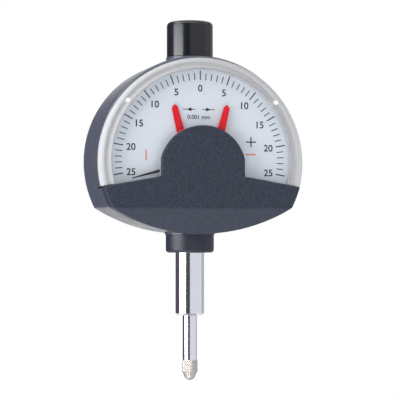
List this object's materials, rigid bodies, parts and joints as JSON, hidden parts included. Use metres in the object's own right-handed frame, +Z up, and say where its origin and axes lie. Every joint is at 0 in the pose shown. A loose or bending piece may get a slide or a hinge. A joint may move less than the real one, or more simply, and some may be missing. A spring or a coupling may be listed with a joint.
{
  "type": "plunger comparator",
  "caption": "Plunger comparator with half-moon dial, pointer, two red tolerance markers, clamping shank, sprung spindle and contact point",
  "frame": {"origin": "on the stem axis at the middle of the clamping shank", "axes": "+Z up along the spindle, -Y the way the dial faces, +X to the dial's right"},
  "size_m": [0.0568, 0.0288, 0.1],
  "materials": {
    "black_paint": "fine textured dark grey-black paint",
    "black_gloss": "smooth glossy black",
    "black_moulding": "finely textured dark grey moulding",
    "dark_anodised": "satin dark anodised",
    "polished_steel": "polished hardened steel",
    "steel": "turned steel",
    "brass": "machined brass",
    "dial_white": "silk white lacquer with printed scale",
    "clear": "clear acrylic",
    "red": "bright red lacquer",
    "pointer_black": "matt black lacquer",
    "spring_steel": "blued spring steel",
    "seal": "thin black rubber sheet",
    "ceramic": "polished hard metal"
  },
  "bodies": {
    "gauge_body": {"housing": "black_paint", "rear_cover": "black_paint", "rear_gasket": "seal", "rear_cover_screws": "steel", "stem": "polished_steel", "collar": "dark_anodised", "protective_cap": "black_gloss", "top_bush": "brass", "plate_pillars": "brass", "back_plate": "brass", "bridge_plate": "brass", "rear_pivot_bushes": "brass", "front_pivot_bushes": "brass", "movement_screws": "steel", "bridge_screws": "steel", "marker_post": "brass", "hairspring_stud": "steel", "hairspring": "spring_steel", "dial": "dial_white", "dial_screws": "steel", "window": "clear", "window_pins": "steel", "front_cover": "black_moulding", "cover_pins": "steel", "force_spring": "spring_steel"},
    "drive_slide": {"drive_sleeve": "steel", "drive_pin": "steel", "overload_spring": "spring_steel"},
    "plunger": {"spindle": "polished_steel", "contact_point": "steel", "contact_ball": "ceramic", "stop_collar": "steel", "sleeve_ring": "steel", "spring_collar": "steel", "guide_pin": "steel"},
    "cage_slide": {"ball_cage": "brass", "cage_balls": "steel"},
    "lever_body": {"transfer_lever": "steel", "lever_arbor": "steel"},
    "sector_body": {"sector": "brass", "sector_arbor": "steel", "sector_pin": "steel"},
    "pointer_body": {"pointer_arbor": "steel", "pointer": "pointer_black", "hairspring_collet": "brass"},
    "left_marker_body": {"left_marker": "red", "left_marker_wheel": "brass"},
    "right_marker_body": {"right_marker": "red", "right_marker_wheel": "brass"},
    "left_setter": {"left_setting_shaft": "steel", "left_setting_knob": "dark_anodised"},
    "right_setter": {"right_setting_shaft": "steel", "right_setting_knob": "dark_anodised"}
  },
  "joints": [
    {"name": "pointer_turn", "type": "hinge", "parent": "gauge_body", "child": "pointer_body", "pos_m": [0, -0.0134, 0.03395], "axis": [0, 1, 0], "range_deg": [0, 210]},
    {"name": "sector_turn", "type": "hinge", "parent": "gauge_body", "child": "sector_body", "pos_m": [-0.01905, -0.007, 0.02295], "axis": [0, 1, 0], "range_deg": [-21, 0]},
    {"name": "lever_turn", "type": "hinge", "parent": "gauge_body", "child": "lever_body", "pos_m": [0.00186, -0.006, 0.02295], "axis": [0, 1, 0], "range_deg": [0, 1.63]},
    {"name": "measuring_travel", "type": "slide", "parent": "gauge_body", "child": "drive_slide", "axis": [0, 0, 1], "range_m": [0, 0.0000526]},
    {"name": "spindle_travel", "type": "slide", "parent": "drive_slide", "child": "plunger", "axis": [0, 0, 1], "range_m": [0, 0.003], "stiffness_N_per_m": 60, "springref_m": -0.012, "deforming": ["force_spring", "overload_spring"]},
    {"name": "cage_travel", "type": "slide", "parent": "gauge_body", "child": "cage_slide", "axis": [0, 0, 1], "range_m": [0, 0.0015]},
    {"name": "left_marker_turn", "type": "hinge", "parent": "gauge_body", "child": "left_marker_body", "pos_m": [0, -0.0124, 0.03395], "axis": [0, 1, 0], "range_deg": [-74.5, 24]},
    {"name": "right_marker_turn", "type": "hinge", "parent": "gauge_body", "child": "right_marker_body", "pos_m": [0, -0.0129, 0.03395], "axis": [0, 1, 0], "range_deg": [-24, 74.5]},
    {"name": "left_knob_turn", "type": "hinge", "parent": "gauge_body", "child": "left_setter", "pos_m": [-0.00877, 0.011, 0.02518], "axis": [0, 1, 0], "range_deg": [-124.8, 387.4]},
    {"name": "right_knob_turn", "type": "hinge", "parent": "gauge_body", "child": "right_setter", "pos_m": [0.00877, 0.011, 0.02518], "axis": [0, 1, 0], "range_deg": [-387.4, 124.8]}
  ],
  "couplings": [
    {"joint": "lever_turn", "follows": "measuring_travel", "rad_per_m": 537.63},
    {"joint": "sector_turn", "follows": "measuring_travel", "rad_per_m": -6966.9},
    {"joint": "pointer_turn", "follows": "measuring_travel", "rad_per_m": 69669},
    {"joint": "cage_travel", "follows": "spindle_travel", "ratio": 0.5},
    {"joint": "left_marker_turn", "follows": "left_knob_turn", "ratio": -0.19231},
    {"joint": "right_marker_turn", "follows": "right_knob_turn", "ratio": -0.19231}
  ]
}
